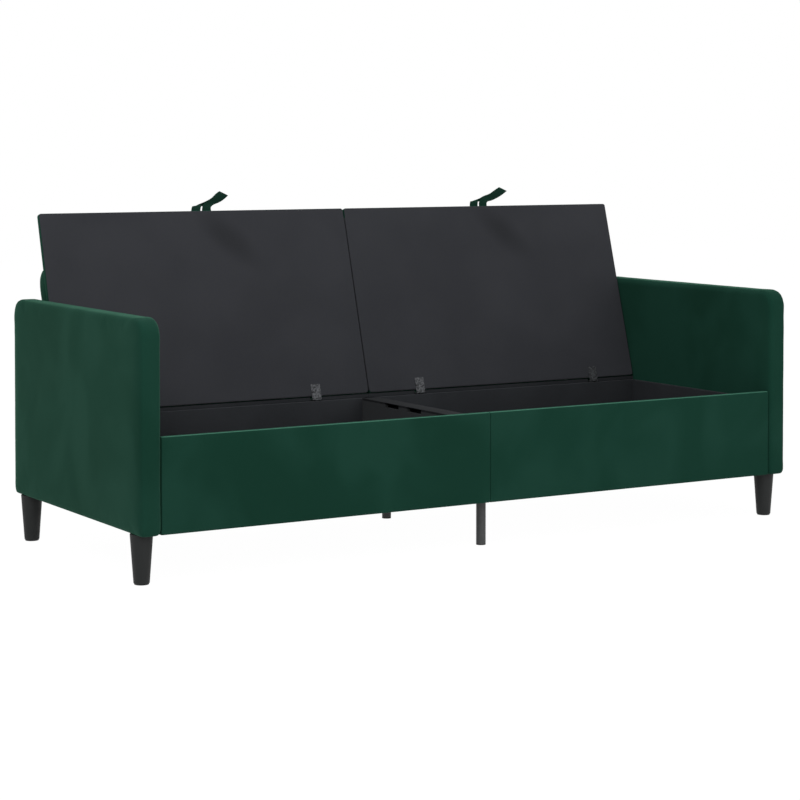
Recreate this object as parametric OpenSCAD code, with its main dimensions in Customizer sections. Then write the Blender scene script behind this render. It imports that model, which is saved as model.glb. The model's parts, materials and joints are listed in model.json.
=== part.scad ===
// Upholstered storage sofa bed: two padded arms, a fixed sloping back, a front
// rail and two hinged seat boards over a pair of storage compartments.
// Millimetres, +Z up, front towards -Y, origin on the floor under the middle.

/* [Overall] */
// Clear width between the two arms
inner_w = 2000; // [1500:10:2500]
// Depth of the arms, front to back
depth = 876; // [840:2:1060]
// Height of the legs
leg_h = 130; // [100:1:170]
// Height of the upholstered part of each arm
arm_h = 558; // [440:1:680]
// Thickness of each padded arm
arm_t = 62; // [54:1:80]
// Height of the front rail
rail_h = 251; // [230:1:320]
// Height of the storage box, up to the ledge that the seat boards rest on
box_h = 228; // [180:1:228]

/* [Seat boards] */
// Length of each seat board, hinge edge to front edge
lid_l = 574; // [470:1:600]
// Thickness of each seat board, padding and lining included
lid_t = 20; // [18:1:26]
// Gap between a seat board and the arm, and between the two boards
lid_gap = 4; // [2:0.5:8]
// Lean of the opened boards and of the back, from vertical
lean = 15.9; // [10:0.1:20]
// Thickness of the plywood inside each seat board
lid_ply_t = 12; // [9:1:14]

/* [Back] */
// Length of the back along its slope
back_l = 430; // [300:5:520]
// Thickness of the padded back
back_t = 58; // [54:1:62]
// Gap between the back and each arm
back_gap = 10; // [2:1:20]

/* [Boards] */
// Thickness of the board inside each arm
arm_board_t = 30; // [22:1:34]
// Thickness of the storage side boards, front board and front ledge
side_t = 15; // [12:1:19]
// Thickness of the rear rail
rear_t = 25; // [18:1:30]
// Thickness of the front rail's own board
front_board_t = 18; // [15:1:22]
// Thickness of the storage floor panels
floor_t = 4; // [3:0.5:6]
// Height of the bearers under the floor
bearer_h = 18; // [15:1:25]
// Depth of the front ledge, from the back of the front rail
ledge_d = 76; // [62:1:95]
// Overall width of the centre divider
divider_w = 56; // [48:2:90]
// Thickness of each web of the divider
web_t = 12; // [9:1:15]

/* [Hinges] */
// Width of each hinge
hinge_w = 31; // [26:1:45]
// Diameter of the hinge pin
pin_d = 3.5; // [3:0.1:4.5]
// Outer diameter of the hinge knuckles
knuckle_d = 8; // [7:0.1:9]
// Thickness of the hinge leaves
leaf_t = 1.5; // [1:0.1:2]
// Length of a leaf on its seat board
leaf_l = 35; // [29:1:60]

/* [Legs] */
// Diameter of a corner leg at its top
leg_top_d = 60; // [44:1:70]
// Diameter of a corner leg at its foot
leg_foot_d = 42; // [30:1:50]
// Distance of the corner legs from the front and back
leg_inset = 68; // [45:1:110]
// Diameter of the centre legs
tube_d = 27; // [22:1:34]
// Distance of the front centre leg from the front
tube_inset = 90; // [80:1:200]

/* [Hidden] */

velvet = "#1b3d31";
lining = "#34363a";
ply = "#c9a877";
steel = "#8d9094";
black = "#2b2d2d";

$fn = 48;
eps = 0.01;
seat_gap = 0.3;       // soft solids stay this clear of what they lie on
bolt_d = 8;
bolt_clear = 0.2;     // added to a bolt's diameter for its hole
screw_d = 3.5;
screw_clear = 0.1;
screw_head_d = 7;
screw_head_h = 1.4;
bracket_screw_l = 9;
plate_screw_l = 13;
lower_screw_l = 13;
lid_screw_l = 11;

// Heights
arm_top = leg_h + arm_h;
rail_top = leg_h + rail_h;
ledge_z = leg_h + box_h;
floor_z = leg_h + bearer_h;

// Places across the width
half_in = inner_w/2;
seam_x = 0.5;                     // half the joint in the middle of the front rail
end_wall = 3;                     // padding on the ends of the rail's boards
arm_x = half_in + arm_t/2;
side_x = half_in - side_t;

// Places from front to back
front = -depth/2;
rail_set = 10;                    // the rail stands back from the arms' front
rail_r = 5;
rail_y = front + rail_set;
rail_pad = 4;                     // padding and velvet on the rail's board
flap_t = 2;                       // velvet behind the rail, above the ledge
rail_t = rail_pad + front_board_t + flap_t;
inner_y = rail_y + rail_pad + front_board_t;
ledge_y = inner_y + ledge_d + flap_t;
finger_gap = 54;                  // behind the rail, for the ribbons
lid_front_y = rail_y + rail_t + finger_gap;
edge_to_pin = 11;
pin_y = lid_front_y + lid_l + edge_to_pin;
rear_y = pin_y - 8;
skirt_t = 2;
post_y = rear_y + rear_t + skirt_t;

// Hinge and seat board levels, across the board from the pin's centre
leaf_gap = 0.3;
knuckle_r = knuckle_d/2;
pin_z = ledge_z + knuckle_r + leaf_gap;
face_n = -(knuckle_r - leaf_t);   // the lined face
top_n = face_n + lid_t;           // the velvet face
lining_t = 1.5;
edge_wall = 3;
lining_rim = 2;
tip_u = edge_to_pin + lid_l;
lid_in = lid_gap/2;               // inner edge, from the middle of the sofa
lid_out = half_in - lid_gap;
hinge_x = [182, 836] * inner_w/2000;
lower_leaf_l = 17;
knuckles = 5;

// Back, across its thickness from the pin's centre
back_n = top_n + 0.5;
back_pad = 14;
back_ply_t = 12;
post_t = 22;
post_w = 70;
post_n = back_n + back_pad + back_ply_t;
post_x = [330, 880] * inner_w/2000;
post_z = leg_h + 20;
post_rise = back_l - 50;
post_bend_u = (post_y - pin_y - post_n*cos(lean))/sin(lean);
post_bend_z = pin_z - post_n*sin(lean) + post_bend_u*cos(lean);

// Screw and bolt places
arm_bolt_y = [inner_y + 75, (inner_y + rear_y)/2, rear_y - 60];
arm_bolt_z = leg_h + box_h/2;
post_bolt_z = [post_z + 25, post_bend_z - 28];
screw_x = hinge_w/3;
lower_screw_y = 10.5;
upper_screws = [[-screw_x, 12], [screw_x, 12], [0, leaf_l - 8]];   // across the leaf, above the edge
leg_bolt = [44, 40];              // its length below and above the top of a leg
leg_y = [front + leg_inset, front + depth - leg_inset];
tube_x = 20;
tube_y = [front + tube_inset, rear_y - 60];
plate = 50;
plate_t = 3;

// ---------- shared shapes ----------

module mirrored() { children(); mirror([1, 0, 0]) children(); }

module side_of(s) { if (s < 0) mirror([1, 0, 0]) children(); else children(); }

// A box given by its lowest and highest corners
module block(lo, hi) { translate(lo) cube(hi - lo); }

// Lays a [y, z] outline across the width, from x0 to x1
module across(x0, x1) {
    translate([x0, 0, 0]) rotate([90, 0, 90]) linear_extrude(x1 - x0) children();
}

// Turns the pin's own axes (across the sofa, across the board, along the board)
// into place, so that a piece is drawn as it lies on the opened board
module leaned() { translate([0, pin_y, pin_z]) rotate([-lean, 0, 0]) children(); }

function on_lean(n, u) = [pin_y + n*cos(lean) + u*sin(lean),
                          pin_z - n*sin(lean) + u*cos(lean)];

// Wood screw or bolt along +Z, its head above z = 0 and its shank below
module screw(l, d = screw_d, head_d = screw_head_d, head_h = screw_head_h) {
    translate([0, 0, -l]) cylinder(h = l + head_h/2, d = d);
    cylinder(h = head_h, d = head_d);
}

module hole(l, d) { translate([0, 0, -l]) cylinder(h = l + 1, d = d); }

// ---------- arms ----------

arm_pad = (arm_t - arm_board_t)/2;
arm_r = 50;
arm_edge_r = 14;

// Side view of the arm, kept this far inside its outline, square at the bottom
module arm_outline(inset, below = 0) {
    r = arm_r - inset;
    y0 = front + inset;
    y1 = front + depth - inset;
    z1 = arm_top - inset;
    translate([y0, leg_h - below]) square([y1 - y0, z1 - r - leg_h + below]);
    translate([y0 + r, z1 - r - eps]) square([y1 - y0 - 2*r, r + eps]);
    for (y = [y0 + r, y1 - r]) translate([y, z1 - r]) circle(r, $fn = 96);
}

// A round disc on the X axis with rolled edges, for the corners of the cover
module rolled_disc(r) {
    for (x = [-1, 1]) translate([x*(arm_t/2 - arm_edge_r), 0, 0]) rotate([0, 90, 0])
        rotate_extrude($fn = 48) intersection() {
            translate([r - arm_edge_r, 0]) circle(arm_edge_r, $fn = 32);
            translate([0, -arm_edge_r]) square([r + 1, 2*arm_edge_r]);
        }
}

module arm_body() {
    hull() for (y = [0, 1]) {
        translate([0, front + (y ? depth - arm_r : arm_r), arm_top - arm_r])
            rolled_disc(arm_r);
        translate([0, front + (y ? depth - arm_edge_r : arm_edge_r), leg_h + arm_edge_r])
            rolled_disc(arm_edge_r);
    }
}

module arm_bolt_holes() {
    for (y = arm_bolt_y) translate([side_x, y, arm_bolt_z]) rotate([0, -90, 0])
        hole(side_t + arm_pad + arm_board_t - 3, bolt_d + bolt_clear);
}

module arm_board() {
    color(ply) difference() {
        across(arm_x - arm_board_t/2, arm_x + arm_board_t/2) arm_outline(arm_pad);
        arm_bolt_holes();
        for (y = leg_y) translate([arm_x, y, leg_h + leg_bolt[1] + 2])
            hole(leg_bolt[1] + 10, bolt_d + bolt_clear);
    }
}

module arm_cover() {
    room = arm_board_t/2 + seat_gap/2;
    color(velvet) difference() {
        translate([arm_x, 0, 0]) arm_body();
        across(arm_x - room, arm_x + room) arm_outline(arm_pad - seat_gap, 1);
        arm_bolt_holes();
    }
}

// ---------- storage box ----------

module side_board() {
    color(lining) difference() {
        block([side_x, inner_y, leg_h], [half_in, rear_y, ledge_z]);
        arm_bolt_holes();
        bracket_places(-1) hole(bracket_screw_l + 1, screw_d + screw_clear);
    }
}

module front_rail_board() {
    color(ply) block([seam_x + end_wall, rail_y + rail_pad, leg_h + rail_pad],
                     [half_in - end_wall, inner_y, rail_top - rail_pad]);
}

module front_rail_cover() {
    y1 = rail_y + rail_t;
    color(velvet) difference() {
        across(seam_x, half_in) {
            translate([rail_y + rail_r, leg_h]) square([rail_t - rail_r, rail_h]);
            translate([rail_y, leg_h + rail_r]) square([rail_r + eps, rail_h - 2*rail_r]);
            for (z = [leg_h + rail_r, rail_top - rail_r])
                translate([rail_y + rail_r, z]) circle(rail_r);
        }
        block([seam_x + end_wall, rail_y + rail_pad, leg_h + rail_pad],
              [half_in - end_wall, inner_y, rail_top - rail_pad]);
        block([0, inner_y, leg_h - 1], [half_in + 1, y1 + 1, ledge_z]);
    }
}

module front_inner_board() {
    color(lining) difference() {
        block([seam_x, inner_y, leg_h], [side_x, inner_y + side_t, ledge_z - side_t]);
        bracket_places(1) hole(bracket_screw_l + 1, screw_d + screw_clear);
    }
}

module front_ledge() {
    color(lining) block([seam_x, inner_y, ledge_z - side_t], [side_x, ledge_y, ledge_z]);
}

rear_gap = 18;       // half the gap between the two rear rails

module rear_rail() {
    color(lining) difference() {
        block([rear_gap, rear_y, leg_h], [half_in, rear_y + rear_t, ledge_z]);
        lower_screw_places() hole(lower_screw_l + 1, screw_d + screw_clear);
        post_bolt_places() hole(rear_t + 1, bolt_d + bolt_clear);
        bracket_places(2) hole(bracket_screw_l + 1, screw_d + screw_clear);
    }
}

module rear_skirt() {
    y0 = rear_y + rear_t;
    color(velvet) difference() {
        block([1 - half_in, y0, leg_h + 2], [half_in - 1, y0 + skirt_t, ledge_z + 2]);
        mirrored() post_bolt_places() hole(rear_t + 10, bolt_d + bolt_clear);
    }
}

// Centre divider: two webs under a cap, with hand slots in the left web only
cap_t = 6;
slot_l = 79;
slot_h = 14;
slot_y = [for (share = [0.471, 0.696]) ledge_y + share*(rear_y - ledge_y)];
web_x = divider_w/2 - web_t;

module divider_web(slots) {
    color(lining) difference() {
        block([web_x, inner_y + side_t, floor_z], [divider_w/2, rear_y, ledge_z - side_t]);
        bracket_places(0) hole(bracket_screw_l + 1, screw_d + screw_clear);
    }
    color(lining) difference() {
        block([web_x, ledge_y, ledge_z - side_t], [divider_w/2, rear_y, ledge_z - cap_t]);
        if (slots) for (y = slot_y)
            block([web_x - 1, y - slot_l/2, ledge_z - cap_t - slot_h],
                  [divider_w/2 + 1, y + slot_l/2, ledge_z - cap_t + 1]);
    }
}

module divider_cap() {
    color(lining) block([-divider_w/2, ledge_y, ledge_z - cap_t],
                        [divider_w/2, rear_y, ledge_z]);
}

block_l = 45;
block_h = 60;

module divider_blocks() {
    color(ply) for (y = [inner_y + side_t, rear_y - block_l])
        block([-web_x, y, floor_z], [web_x, y + block_l, floor_z + block_h]);
}

bearer_w = 100;
slat_w = 44;

module centre_bearer() {
    color(ply) difference() {
        block([-bearer_w/2, inner_y + side_t, leg_h], [bearer_w/2, rear_y, floor_z]);
        plate_screw_places() hole(plate_screw_l + 1, screw_d + screw_clear);
    }
}

module side_bearers() {
    color(ply) mirrored() for (x = [side_x/2, side_x - slat_w/2])
        block([x - slat_w/2, inner_y + side_t, leg_h], [x + slat_w/2, rear_y, floor_z]);
}

module floor_panel() {
    color(lining) block([divider_w/2, inner_y + side_t, floor_z],
                        [side_x, rear_y, floor_z + floor_t]);
}

// ---------- back ----------

back_r = 25;

module back_outline(inset) {
    r = back_r - inset;
    n0 = back_n + inset;
    n1 = back_n + back_t - inset;
    u1 = back_l - inset;
    translate([n0 + r, inset]) square([n1 - n0 - 2*r, u1 - inset]);
    translate([n0, inset + r]) square([n1 - n0, u1 - inset - 2*r]);
    for (n = [n0 + r, n1 - r], u = [inset + r, u1 - r]) translate([n, u]) circle(r);
}

back_x = half_in - back_gap;
panel_inset = 12;

module back_panel() {
    n0 = back_n + back_pad;
    color(ply) leaned() block([-back_x + panel_inset, n0, panel_inset],
        [back_x - panel_inset, n0 + back_ply_t, back_l - panel_inset]);
}

post_d = post_t/cos(lean);

// A post is upright behind the rear rail and then follows the slope of the back
module post_outline() {
    polygon([[post_y, post_z], [post_y + post_d, post_z], [post_y + post_d, post_bend_z],
             on_lean(post_n + post_t, post_rise), on_lean(post_n, post_rise),
             [post_y, post_bend_z]]);
}

module back_posts() {
    color(ply) mirrored() difference() {
        for (x = post_x) across(x - post_w/2, x + post_w/2) post_outline();
        post_bolt_places() hole(rear_t + 60, bolt_d + bolt_clear);
    }
}

module back_top_rail() {
    color(ply) leaned() block([-back_x + panel_inset, post_n, post_rise],
        [back_x - panel_inset, post_n + post_t, back_l - panel_inset]);
}

module back_cover() {
    color(velvet) leaned() difference() {
        rotate([90, 0, 90]) translate([0, 0, -back_x]) linear_extrude(2*back_x)
            back_outline(0);
        block([-back_x + panel_inset - seat_gap, back_n + back_pad - seat_gap,
               panel_inset - seat_gap],
              [back_x - panel_inset + seat_gap, post_n + post_t + seat_gap,
               back_l - panel_inset + seat_gap]);
        for (x = post_x, s = [-1, 1])
            block([s*x - post_w/2 - seat_gap, post_n - seat_gap, -1],
                  [s*x + post_w/2 + seat_gap, post_n + post_t + seat_gap, panel_inset]);
    }
}

// ---------- bolts, brackets and screws ----------

bolt_head_d = 16;
bolt_head_h = 3;
nut_h = 6.5;

module post_bolt_places() {
    for (x = post_x, z = post_bolt_z) translate([x, rear_y, z]) rotate([90, 0, 0]) children();
}

module post_bolts() {
    l = rear_t + skirt_t + post_d;
    color(steel) mirrored() post_bolt_places() {
        screw(l + nut_h + 3, bolt_d, bolt_head_d, bolt_head_h);
        translate([0, 0, -l - nut_h]) difference() {
            cylinder(h = nut_h, d = 15, $fn = 6);
            translate([0, 0, -1]) cylinder(h = nut_h + 2, d = bolt_d + bolt_clear);
        }
    }
}

module arm_bolts() {
    color(steel) mirrored() for (y = arm_bolt_y)
        translate([side_x, y, arm_bolt_z]) rotate([0, -90, 0])
            screw(side_t + arm_pad + arm_board_t - 5, bolt_d, bolt_head_d, bolt_head_h);
}

// Steel angles: one leg on a side board or web, the other on the front or rear
angle_l = 30;
angle_t = 2;
angle_h = 60;
angle_z = floor_z + floor_t + 20;

// face -1: side board, 0: web, 1: front board, 2: rear rail
module bracket_places(face) {
    reach = angle_l*0.6;
    for (end = [0, 1], z = [angle_z + 15, angle_z + angle_h - 15]) {
        y = end ? rear_y : inner_y + side_t;
        in = end ? -1 : 1;
        if (face == -1) translate([side_x - angle_t, y + in*reach, z])
            rotate([0, -90, 0]) children();
        if (face == 0) translate([divider_w/2 + angle_t, y + in*reach, z])
            rotate([0, 90, 0]) children();
        if (face == 1 + end) for (x = [side_x - reach, divider_w/2 + reach])
            translate([x, y + in*angle_t, z]) rotate([-90*in, 0, 0]) children();
    }
}

module angle(x, y, sx, sy) {
    translate([x, y, angle_z]) linear_extrude(angle_h)
        polygon([[0, 0], [sx*angle_l, 0], [sx*angle_l, sy*angle_t], [sx*angle_t, sy*angle_t],
                 [sx*angle_t, sy*angle_l], [0, sy*angle_l]]);
}

module angle_brackets() {
    color(steel) mirrored() difference() {
        union() for (x = [side_x, divider_w/2]) {
            s = x == side_x ? -1 : 1;
            angle(x, inner_y + side_t, s, 1);
            angle(x, rear_y, s, -1);
        }
        for (face = [-1:2]) bracket_places(face) hole(angle_t + 1, screw_d + screw_clear);
    }
}

module bracket_screws() {
    color(steel) mirrored() for (face = [-1:2]) bracket_places(face) screw(bracket_screw_l);
}

// ---------- legs ----------

glide_h = 3;

module leg(y) {
    color(black) difference() {
        translate([arm_x, y, glide_h])
            cylinder(h = leg_h - glide_h, d1 = leg_foot_d, d2 = leg_top_d, $fn = 96);
        translate([arm_x, y, leg_h]) hole(leg_bolt[0] + 1, bolt_d + bolt_clear);
    }
}

module leg_bolts() {
    color(steel) mirrored() for (y = leg_y)
        translate([arm_x, y, leg_h - leg_bolt[0]])
            cylinder(h = leg_bolt[0] + leg_bolt[1], d = bolt_d);
}

module leg_glides() {
    color(black) mirrored() for (y = leg_y)
        translate([arm_x, y, 0]) cylinder(h = glide_h, d = leg_foot_d - 4, $fn = 96);
}

tube_wall = 1.5;

module plate_screw_places() {
    for (y = tube_y, x = [-18, 18], dy = [-18, 18])
        translate([tube_x + x, y + dy, leg_h - plate_t]) rotate([180, 0, 0]) children();
}

module centre_leg(y) {
    color(steel) difference() {
        union() {
            translate([tube_x, y, glide_h]) cylinder(h = leg_h - plate_t - glide_h, d = tube_d);
            translate([tube_x - plate/2, y - plate/2, leg_h - plate_t])
                cube([plate, plate, plate_t]);
        }
        translate([tube_x, y, glide_h - 1])
            cylinder(h = leg_h - plate_t - glide_h + 1, d = tube_d - 2*tube_wall);
        plate_screw_places() hole(plate_t + 1, screw_d + screw_clear);
    }
}

module centre_leg_feet() {
    color(black) for (y = tube_y) translate([tube_x, y, 0]) {
        cylinder(h = glide_h, d = tube_d);
        cylinder(h = 15, d = tube_d - 2*tube_wall - bolt_clear);
    }
}

module centre_leg_screws() {
    color(steel) plate_screw_places() screw(plate_screw_l);
}

// ---------- hinges ----------

running = 0.05;      // radial clearance of the pin in the turning knuckles
fixed_fit = 0.02;    // and in the fixed ones
knuckle_gap = 0.3;

// One hinge's knuckles along X at the pin: the even ones are the fixed leaf's
module knuckle_row(first, clear) {
    pitch = hinge_w/knuckles;
    for (k = [first:2:knuckles - 1])
        translate([-hinge_w/2 + k*pitch + knuckle_gap/2, 0, 0]) rotate([90, 0, 90])
            linear_extrude(pitch - knuckle_gap) difference() {
                union() {
                    circle(knuckle_r);
                    children();
                }
                circle(pin_d/2 + clear);
            }
}

module lower_hinge_leaf() {
    translate([0, pin_y, pin_z]) {
        knuckle_row(0, fixed_fit) translate([0, -knuckle_r - leaf_gap])
            square([knuckle_r + 1, leaf_t + 0.3]);
        difference() {
            block([-hinge_w/2, knuckle_r + 0.5, -knuckle_r - leaf_gap],
                  [hinge_w/2, lower_leaf_l, -knuckle_r - leaf_gap + leaf_t]);
            for (x = [-screw_x, screw_x]) translate([x, lower_screw_y, -knuckle_r])
                hole(leaf_t + 1, screw_d + screw_clear + 0.1);
            for (x = [-screw_x, screw_x]) translate([x, lower_screw_y, 0])
                hole(knuckle_r + 1, screw_d + screw_clear);
        }
    }
}

module lower_screw_places() {
    for (h = hinge_x, x = [-screw_x, screw_x])
        translate([h + x, pin_y + lower_screw_y, ledge_z + leaf_t]) children();
}

module lower_hinge_leaves() {
    color(steel) mirrored() for (h = hinge_x) translate([h, 0, 0]) lower_hinge_leaf();
}

module lower_hinge_screws() {
    color(steel) mirrored() lower_screw_places() screw(lower_screw_l);
}

module hinge_pins() {
    color(steel) mirrored() for (h = hinge_x) translate([h - hinge_w/2, pin_y, pin_z])
        rotate([0, 90, 0]) cylinder(h = hinge_w, d = pin_d);
}

rest_pad_d = 16;

module rest_pads() {
    y = (lid_front_y + ledge_y)/2;
    color(black) mirrored() for (x = [0.08, 0.5, 0.92]) translate([x*half_in, y, ledge_z])
        cylinder(h = leaf_t, d = rest_pad_d);
}

// ---------- seat boards, drawn open ----------

module upper_screw_places() {
    for (h = hinge_x, p = upper_screws)
        translate([h + p[0], face_n - leaf_t, edge_to_pin + p[1]])
            rotate([90, 0, 0]) children();
}

module lid_board() {
    color(ply) leaned() difference() {
        block([lid_in + edge_wall, face_n + lining_t, edge_to_pin + edge_wall],
              [lid_out - edge_wall, face_n + lining_t + lid_ply_t, tip_u - edge_wall]);
        upper_screw_places() hole(lid_screw_l + 1, screw_d + screw_clear);
    }
}

module lid_cover() {
    r = 8;
    color(velvet) leaned() difference() {
        translate([0, top_n, 0]) rotate([90, 0, 0]) linear_extrude(lid_t) {
            translate([lid_in + r, edge_to_pin]) square([lid_out - lid_in - 2*r, lid_l]);
            translate([lid_in, edge_to_pin + r]) square([lid_out - lid_in, lid_l - 2*r]);
            for (x = [lid_in + r, lid_out - r], u = [edge_to_pin + r, tip_u - r])
                translate([x, u]) circle(r);
        }
        block([lid_in + edge_wall, face_n + lining_t, edge_to_pin + edge_wall],
              [lid_out - edge_wall, face_n + lining_t + lid_ply_t, tip_u - edge_wall]);
        block([lid_in + lining_rim, face_n - 1, edge_to_pin + lining_rim],
              [lid_out - lining_rim, face_n + lining_t + 1, tip_u - lining_rim]);
    }
}

module lid_lining() {
    color(lining) leaned() difference() {
        block([lid_in + lining_rim, face_n, edge_to_pin + lining_rim],
              [lid_out - lining_rim, face_n + lining_t, tip_u - lining_rim]);
        upper_screw_places() hole(leaf_t + lining_t + 1, screw_d + screw_clear);
    }
}

module lid_hinge_leaves() {
    reach = edge_to_pin + leaf_l;
    color(steel) leaned() difference() {
        for (h = hinge_x) translate([h, 0, 0]) {
            knuckle_row(1, running) translate([-knuckle_r, 0]) square([leaf_t, knuckle_r + 1]);
            block([-hinge_w/2, -knuckle_r, knuckle_r + 0.5], [hinge_w/2, face_n, reach]);
        }
        upper_screw_places() hole(leaf_t + 1, screw_d + screw_clear);
    }
}

module lid_hinge_screws() {
    color(steel) leaned() upper_screw_places() screw(lid_screw_l);
}

// A ribbon is one loop, both ends at the front edge of its board. Each point is
// its place [across, over, beyond the edge] and the way its width points.
ribbon_w = 29;
ribbon_t = 1.2;
ribbon_x = [-half_in/2, half_in/2 - 12];
ribbon_points = [
    [[4.5, 8, 0.3], [1, 0, 0]],     [[5, 9, 10], [1, 0, 0]],
    [[14, 17, 16], [1, 0.3, 0]],    [[32, 24, 22], [1, 0.4, -0.2]],
    [[50, 29, 30], [1, 0.4, -0.4]], [[66, 32, 37], [1, 0.4, -0.5]],
    [[84, 35, 46], [1, 0.2, -0.6]], [[100, 37, 56], [1, 0, -0.6]],
    [[110, 37, 62], [1, 0, -0.6]],  [[113, 34, 64], [1, 0, -0.6]],
    [[109, 31, 61], [1, 0, -0.6]],  [[98, 29, 53], [1, 0, -0.6]],
    [[81, 26, 42], [1, 0.2, -0.6]], [[63, 22, 32], [1, 0.4, -0.5]],
    [[49, 15, 22], [1, 0.2, -0.2]], [[42, 10, 12], [1, 0.1, 0]],
    [[40.5, 8, 0.3], [1, 0, 0]]
];
ribbon_steps = 3;

function spline(a, b, c, d, t) =
    0.5*(2*b + (c - a)*t + (2*a - 5*b + 4*c - d)*t*t + (3*b - a - 3*c + d)*t*t*t);
function ribbon_at(i, j, t) =
    let (p = ribbon_points, n = len(p) - 1)
    spline(p[max(i - 1, 0)][j], p[i][j], p[min(i + 1, n)][j], p[min(i + 2, n)][j], t);
function unit(v) = v/norm(v);

module ribbon(x) {
    n = len(ribbon_points) - 1;
    at = [for (i = [0:n - 1], s = [0:ribbon_steps - 1]) [i, s/ribbon_steps], [n - 1, 1]];
    mid = [for (a = at) ribbon_at(a[0], 0, a[1])];
    wide = [for (a = at) unit(ribbon_at(a[0], 1, a[1]))];
    last = len(at) - 1;
    rings = [for (k = [0:last])
        let (along = k%last == 0 ? [0, 0, k ? -1 : 1] : unit(mid[k + 1] - mid[k - 1]),
             w = unit(wide[k] - along*(wide[k]*along))*ribbon_w/2,
             h = unit(cross(w, along))*ribbon_t/2)
        [mid[k] - w - h, mid[k] + w - h, mid[k] + w + h, mid[k] - w + h]];
    color(velvet) leaned() translate([x, 0, tip_u]) polyhedron(
        [for (r = rings, p = r) p],
        [[0, 1, 2], [0, 2, 3],
         [4*last, 4*last + 2, 4*last + 1], [4*last, 4*last + 3, 4*last + 2],
         for (k = [0:last - 1], q = [0:3])
             let (a = 4*k + q, b = 4*k + (q + 1)%4)
             each [[a, a + 4, b + 4], [a, b + 4, b]]]);
}

// ---------- the nodes ----------

side_of(-1) arm_board();  // left_arm_board
arm_board();  // right_arm_board
side_of(-1) arm_cover();  // left_arm_cover
arm_cover();  // right_arm_cover
side_of(-1) side_board();  // left_side_board
side_board();  // right_side_board
side_of(-1) front_rail_board();  // front_rail_board_left
front_rail_board();  // front_rail_board_right
side_of(-1) front_rail_cover();  // front_rail_cover_left
front_rail_cover();  // front_rail_cover_right
side_of(-1) front_inner_board();  // front_inner_board_left
front_inner_board();  // front_inner_board_right
side_of(-1) front_ledge();  // front_ledge_left
front_ledge();  // front_ledge_right
side_of(-1) rear_rail();  // rear_rail_left
rear_rail();  // rear_rail_right
rear_skirt();
side_of(-1) divider_web(true);  // divider_web_left
divider_web(false);  // divider_web_right
divider_cap();
divider_blocks();
centre_bearer();
side_bearers();
side_of(-1) floor_panel();  // floor_panel_left
floor_panel();  // floor_panel_right
back_panel();
back_posts();
back_top_rail();
back_cover();
post_bolts();
arm_bolts();
angle_brackets();
bracket_screws();
side_of(-1) leg(leg_y[0]);  // leg_front_left
leg(leg_y[0]);  // leg_front_right
side_of(-1) leg(leg_y[1]);  // leg_rear_left
leg(leg_y[1]);  // leg_rear_right
leg_bolts();
leg_glides();
centre_leg(tube_y[0]);  // centre_leg_front
centre_leg(tube_y[1]);  // centre_leg_rear
centre_leg_feet();
centre_leg_screws();
lower_hinge_leaves();
hinge_pins();
lower_hinge_screws();
rest_pads();
side_of(-1) lid_board();  // left_lid_board
side_of(-1) lid_cover();  // left_lid_cover
side_of(-1) lid_lining();  // left_lid_lining
side_of(-1) lid_hinge_leaves();  // left_hinge_leaves
side_of(-1) lid_hinge_screws();  // left_hinge_screws
ribbon(ribbon_x[0]);  // left_ribbon
lid_board();  // right_lid_board
lid_cover();  // right_lid_cover
lid_lining();  // right_lid_lining
lid_hinge_leaves();  // right_hinge_leaves
lid_hinge_screws();  // right_hinge_screws
ribbon(ribbon_x[1]);  // right_ribbon
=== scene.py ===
import json
import math
import bmesh
import bpy
from mathutils import Matrix, Vector, noise


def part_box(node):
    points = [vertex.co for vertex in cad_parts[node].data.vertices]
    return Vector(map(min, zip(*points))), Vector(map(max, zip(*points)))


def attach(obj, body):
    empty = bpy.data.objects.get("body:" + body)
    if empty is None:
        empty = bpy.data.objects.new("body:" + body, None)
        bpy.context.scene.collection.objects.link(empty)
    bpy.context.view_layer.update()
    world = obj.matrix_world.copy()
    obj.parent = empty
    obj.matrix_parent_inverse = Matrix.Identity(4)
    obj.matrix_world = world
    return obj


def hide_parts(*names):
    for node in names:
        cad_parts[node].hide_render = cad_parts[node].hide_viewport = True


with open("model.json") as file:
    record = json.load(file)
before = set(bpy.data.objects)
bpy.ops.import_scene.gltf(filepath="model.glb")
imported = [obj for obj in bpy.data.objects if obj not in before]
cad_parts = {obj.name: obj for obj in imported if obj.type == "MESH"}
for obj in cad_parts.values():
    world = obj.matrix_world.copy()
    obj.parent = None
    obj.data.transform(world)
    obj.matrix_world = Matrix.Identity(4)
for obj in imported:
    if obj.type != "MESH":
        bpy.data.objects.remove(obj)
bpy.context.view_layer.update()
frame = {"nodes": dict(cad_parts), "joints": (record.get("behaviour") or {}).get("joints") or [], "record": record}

mm = 0.001
near = 1e-5      # metres apart, and still the same place
scene = bpy.context.scene
record = frame["record"]

# the hinge line, and the lean of the open seat boards
pin = Vector(frame["joints"][0]["pos_m"])
lean = math.radians(frame["joints"][0]["range_deg"][1] - 90)
alongLean = Matrix.Translation(pin) @ Matrix.Rotation(-lean, 4, "X")


cameraLook = {
    "place": (-3.3992, -5.5367, 1.1257),
    "turn": -31.29, "tilt": 2.0,
    "lens": 100.13, "shift": -0.2241,
}


def makeCamera(look):
    camera = bpy.data.objects.new("camera", bpy.data.cameras.new("camera"))
    scene.collection.objects.link(camera)
    camera.location = look["place"]
    camera.rotation_euler = (math.radians(90 - look["tilt"]), 0, math.radians(look["turn"]))
    camera.data.lens = look["lens"]
    camera.data.sensor_width = 36
    camera.data.shift_y = look["shift"]
    camera.data.clip_end = 60
    scene.camera = camera


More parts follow.
